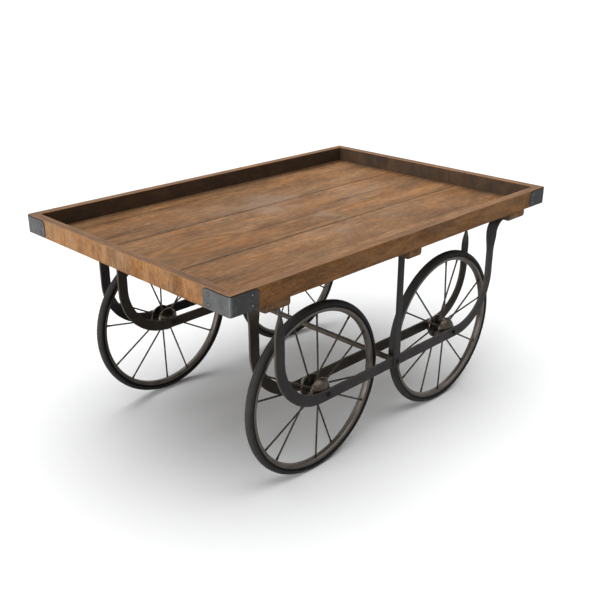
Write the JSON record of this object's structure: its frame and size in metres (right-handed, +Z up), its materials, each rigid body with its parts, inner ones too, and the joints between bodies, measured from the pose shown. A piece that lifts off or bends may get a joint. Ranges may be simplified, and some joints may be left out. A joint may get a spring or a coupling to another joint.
{
  "type": "flat-bed hand cart",
  "caption": "Flat-bed wooden hand cart: a shallow railed tray with steel corner plates on spoked rubber-tyred wheels, held by bent flat-iron straps.",
  "frame": {"origin": "on the ground under the middle of the tray", "axes": "+X along the tray towards its rear end, +Y to its left side, +Z up; the tray is alike at both ends"},
  "size_m": [1.881, 1.267, 0.93],
  "materials": {
    "floor_wood": "oiled, worn, grain along the boards",
    "rail_wood": "oiled, worn pale along the edges",
    "bearer_wood": "oiled",
    "bracket_steel": "dull grey sheet",
    "rivet_steel": "worn bright",
    "strap_iron": "dark, edges worn to a pale brown",
    "tyre_rubber": "matt, fine cross ribs",
    "rim_steel": "dull brown-grey, half gloss",
    "spoke_steel": "dark brown",
    "hub_iron": "dark brown, flange edges worn bright",
    "bush_bronze": "plain bronze",
    "fastener_steel": "dark oiled steel"
  },
  "bodies": {
    "cart": {"floor_board_left": "floor_wood", "floor_board_middle": "floor_wood", "floor_board_right": "floor_wood", "side_rail_left": "rail_wood", "side_rail_right": "rail_wood", "end_rail_front": "rail_wood", "end_rail_rear": "rail_wood", "bearer_front": "bearer_wood", "bearer_middle": "bearer_wood", "bearer_rear": "bearer_wood", "corner_bracket_front_left": "bracket_steel", "corner_bracket_front_right": "bracket_steel", "corner_bracket_rear_left": "bracket_steel", "corner_bracket_rear_right": "bracket_steel", "bracket_rivets": "rivet_steel", "floor_screws": "fastener_steel", "rail_screws": "fastener_steel", "outer_strap_left": "strap_iron", "outer_strap_right": "strap_iron", "inner_strap_left": "strap_iron", "inner_strap_right": "strap_iron", "strap_foot_screws": "fastener_steel", "centre_post_left": "strap_iron", "centre_post_right": "strap_iron", "post_screws": "fastener_steel", "tie_rod": "strap_iron", "tie_rod_nuts": "fastener_steel", "axle_front_left": "fastener_steel", "axle_front_right": "fastener_steel", "axle_rear_left": "fastener_steel", "axle_rear_right": "fastener_steel", "axle_washers": "fastener_steel", "axle_nuts": "fastener_steel"},
    "wheel_front_right": {"tyre_front_right": "tyre_rubber", "rim_front_right": "rim_steel", "spokes_front_right": "spoke_steel", "nipples_front_right": "spoke_steel", "hub_front_right": "hub_iron", "bushes_front_right": "bush_bronze"},
    "wheel_front_left": {"tyre_front_left": "tyre_rubber", "rim_front_left": "rim_steel", "spokes_front_left": "spoke_steel", "nipples_front_left": "spoke_steel", "hub_front_left": "hub_iron", "bushes_front_left": "bush_bronze"},
    "wheel_rear_right": {"tyre_rear_right": "tyre_rubber", "rim_rear_right": "rim_steel", "spokes_rear_right": "spoke_steel", "nipples_rear_right": "spoke_steel", "hub_rear_right": "hub_iron", "bushes_rear_right": "bush_bronze"},
    "wheel_rear_left": {"tyre_rear_left": "tyre_rubber", "rim_rear_left": "rim_steel", "spokes_rear_left": "spoke_steel", "nipples_rear_left": "spoke_steel", "hub_rear_left": "hub_iron", "bushes_rear_left": "bush_bronze"}
  },
  "joints": [
    {"name": "wheel_front_right_spin", "type": "hinge", "parent": "cart", "child": "wheel_front_right", "pos_m": [-0.405, -0.483, 0.355], "axis": [0, 1, 0], "continuous": true},
    {"name": "wheel_front_left_spin", "type": "hinge", "parent": "cart", "child": "wheel_front_left", "pos_m": [-0.405, 0.483, 0.355], "axis": [0, 1, 0], "continuous": true},
    {"name": "wheel_rear_right_spin", "type": "hinge", "parent": "cart", "child": "wheel_rear_right", "pos_m": [0.405, -0.483, 0.355], "axis": [0, 1, 0], "continuous": true},
    {"name": "wheel_rear_left_spin", "type": "hinge", "parent": "cart", "child": "wheel_rear_left", "pos_m": [0.405, 0.483, 0.355], "axis": [0, 1, 0], "continuous": true}
  ]
}
